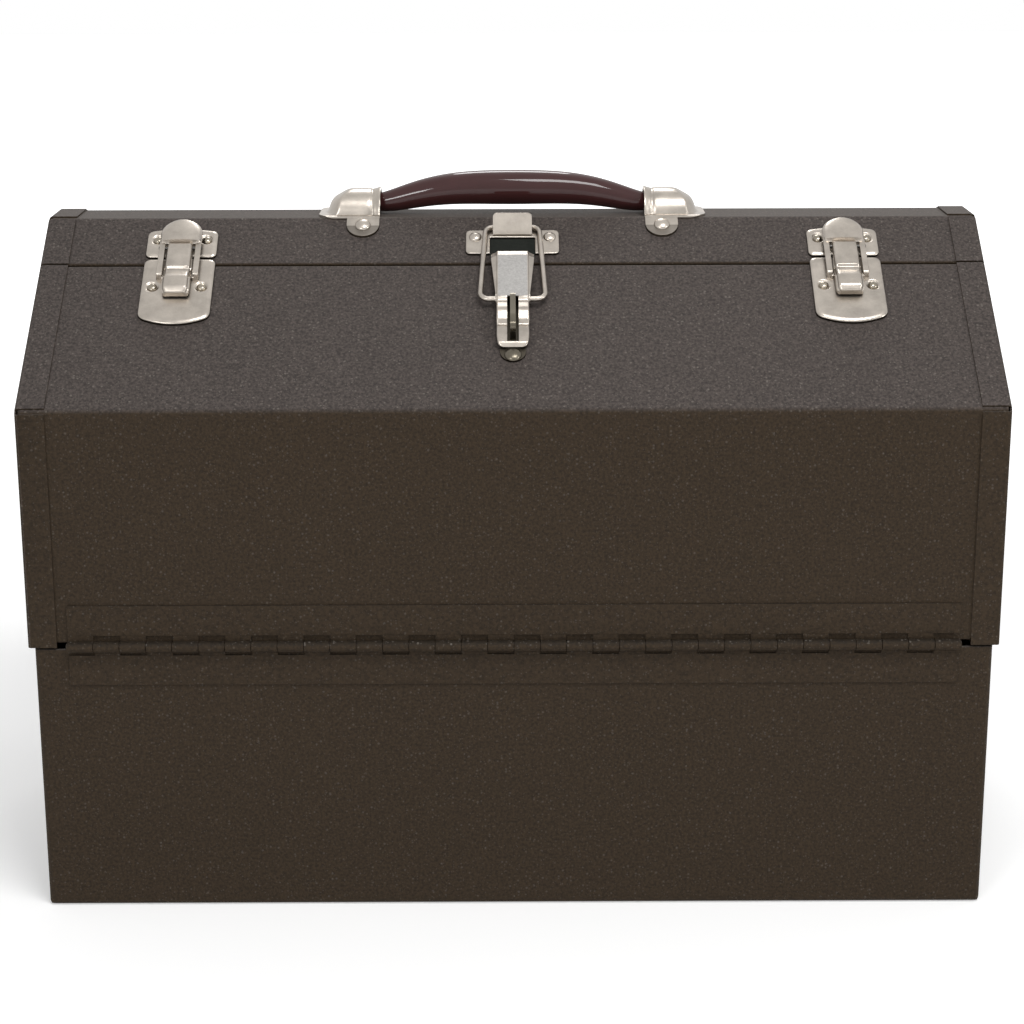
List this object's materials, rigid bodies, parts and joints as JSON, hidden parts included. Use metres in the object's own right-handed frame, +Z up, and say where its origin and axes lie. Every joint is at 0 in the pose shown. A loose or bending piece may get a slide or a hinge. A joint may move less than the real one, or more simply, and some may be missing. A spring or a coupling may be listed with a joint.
{
  "type": "cantilever toolbox",
  "caption": "Steel toolbox whose two roof-shaped lids turn on piano hinges and lift stacked trays outwards, with draw latches and a carrying handle.",
  "frame": {"origin": "middle of the box's footprint, on the floor", "axes": "X along the width, -Y to the latches at the front, Z up"},
  "size_m": [0.4694, 0.2586, 0.3476],
  "materials": {
    "skin": "dark brown textured powder coat with fine pale flecks",
    "tray": "dark brown textured powder coat",
    "nickel": "satin nickel plate, slightly warm",
    "steel": "zinc-plated steel",
    "grip": "glossy dark maroon vinyl"
  },
  "bodies": {
    "body": {"body_shell": "skin", "body_end_left": "skin", "body_end_right": "skin", "front_hinge_lower_leaf": "skin", "rear_hinge_lower_leaf": "skin", "front_hinge_pin": "steel", "rear_hinge_pin": "steel", "arm_pivot_rivets": "steel"},
    "front_lid": {"front_lid_panel": "skin", "front_lid_end_left": "skin", "front_lid_end_right": "skin", "front_hinge_upper_leaf": "skin", "front_tray_pivots": "steel", "latch_base_left": "nickel", "latch_base_right": "nickel", "latch_base_rivets": "nickel", "hasp_pin_left": "steel", "hasp_pin_right": "steel", "draw_latch_base": "nickel", "draw_latch_rivet": "nickel", "draw_lever_pin": "steel"},
    "rear_lid": {"rear_lid_panel": "skin", "rear_lid_end_left": "skin", "rear_lid_end_right": "skin", "rear_hinge_upper_leaf": "skin", "rear_tray_pivots": "steel", "strike_left": "nickel", "strike_right": "nickel", "strike_rivets": "nickel", "keeper": "nickel", "keeper_rivets": "nickel", "handle_bracket_left": "nickel", "handle_bracket_right": "nickel", "handle_rivets": "nickel", "handle_ends": "steel", "handle_grip": "grip"},
    "front_lower_tray": {"front_lower_tray": "tray", "front_lower_arm_rivets": "steel"},
    "front_upper_tray": {"front_upper_tray": "tray", "front_tray_dividers": "tray", "front_upper_arm_rivets": "steel"},
    "rear_lower_tray": {"rear_lower_tray": "tray", "rear_lower_arm_rivets": "steel"},
    "rear_upper_tray": {"rear_upper_tray": "tray", "rear_tray_dividers": "tray", "rear_upper_arm_rivets": "steel"},
    "front_arms": {"front_swing_arms": "steel"},
    "rear_arms": {"rear_swing_arms": "steel"},
    "hasp_left": {"hasp_left": "nickel", "lever_pin_left": "steel"},
    "hasp_right": {"hasp_right": "nickel", "lever_pin_right": "steel"},
    "latch_lever_left": {"latch_lever_left": "nickel"},
    "latch_lever_right": {"latch_lever_right": "nickel"},
    "draw_lever": {"draw_lever": "nickel"},
    "bail": {"bail": "nickel"}
  },
  "joints": [
    {"name": "front_lid_hinge", "type": "hinge", "parent": "body", "child": "front_lid", "pos_m": [0, -0.1267, 0.1361], "axis": [1, 0, 0], "range_deg": [0, 84]},
    {"name": "front_arm_swing", "type": "hinge", "parent": "body", "child": "front_arms", "pos_m": [0, -0.08864, 0.1276], "axis": [1, 0, 0], "range_deg": [0, 84]},
    {"name": "front_lower_tray_pivot", "type": "hinge", "parent": "front_lid", "child": "front_lower_tray", "pos_m": [0, -0.10127, 0.16434], "axis": [1, 0, 0], "range_deg": [-84, 0]},
    {"name": "front_upper_tray_pivot", "type": "hinge", "parent": "front_lid", "child": "front_upper_tray", "pos_m": [0, -0.05377, 0.2171], "axis": [1, 0, 0], "range_deg": [-84, 0]},
    {"name": "rear_lid_hinge", "type": "hinge", "parent": "body", "child": "rear_lid", "pos_m": [0, 0.1267, 0.1361], "axis": [-1, 0, 0], "range_deg": [0, 84]},
    {"name": "rear_arm_swing", "type": "hinge", "parent": "body", "child": "rear_arms", "pos_m": [0, 0.08864, 0.1276], "axis": [-1, 0, 0], "range_deg": [0, 84]},
    {"name": "rear_lower_tray_pivot", "type": "hinge", "parent": "rear_lid", "child": "rear_lower_tray", "pos_m": [0, 0.10127, 0.16434], "axis": [-1, 0, 0], "range_deg": [-84, 0]},
    {"name": "rear_upper_tray_pivot", "type": "hinge", "parent": "rear_lid", "child": "rear_upper_tray", "pos_m": [0, 0.05377, 0.2171], "axis": [-1, 0, 0], "range_deg": [-84, 0]},
    {"name": "hasp_left_hinge", "type": "hinge", "parent": "front_lid", "child": "hasp_left", "pos_m": [-0.1643, -0.05398, 0.30172], "axis": [1, 0, 0], "range_deg": [0, 90]},
    {"name": "latch_lever_left_hinge", "type": "hinge", "parent": "hasp_left", "child": "latch_lever_left", "pos_m": [-0.1643, -0.03993, 0.31448], "axis": [1, 0, 0], "range_deg": [-90, 0]},
    {"name": "hasp_right_hinge", "type": "hinge", "parent": "front_lid", "child": "hasp_right", "pos_m": [0.1643, -0.05398, 0.30172], "axis": [1, 0, 0], "range_deg": [0, 90]},
    {"name": "latch_lever_right_hinge", "type": "hinge", "parent": "hasp_right", "child": "latch_lever_right", "pos_m": [0.1643, -0.03993, 0.31448], "axis": [1, 0, 0], "range_deg": [-90, 0]},
    {"name": "draw_lever_hinge", "type": "hinge", "parent": "front_lid", "child": "draw_lever", "pos_m": [0, -0.04584, 0.30983], "axis": [-1, 0, 0], "range_deg": [0, 80]},
    {"name": "bail_hinge", "type": "hinge", "parent": "draw_lever", "child": "bail", "pos_m": [0, -0.06948, 0.29391], "axis": [1, 0, 0], "range_deg": [0, 44]}
  ],
  "couplings": [
    {"joint": "front_arm_swing", "follows": "front_lid_hinge", "ratio": 1},
    {"joint": "front_lower_tray_pivot", "follows": "front_lid_hinge", "ratio": -1},
    {"joint": "front_upper_tray_pivot", "follows": "front_lid_hinge", "ratio": -1},
    {"joint": "rear_arm_swing", "follows": "rear_lid_hinge", "ratio": 1},
    {"joint": "rear_lower_tray_pivot", "follows": "rear_lid_hinge", "ratio": -1},
    {"joint": "rear_upper_tray_pivot", "follows": "rear_lid_hinge", "ratio": -1},
    {"joint": "latch_lever_left_hinge", "follows": "hasp_left_hinge", "ratio": -1},
    {"joint": "latch_lever_right_hinge", "follows": "hasp_right_hinge", "ratio": -1},
    {"joint": "bail_hinge", "follows": "draw_lever_hinge", "ratio": 0.55}
  ]
}
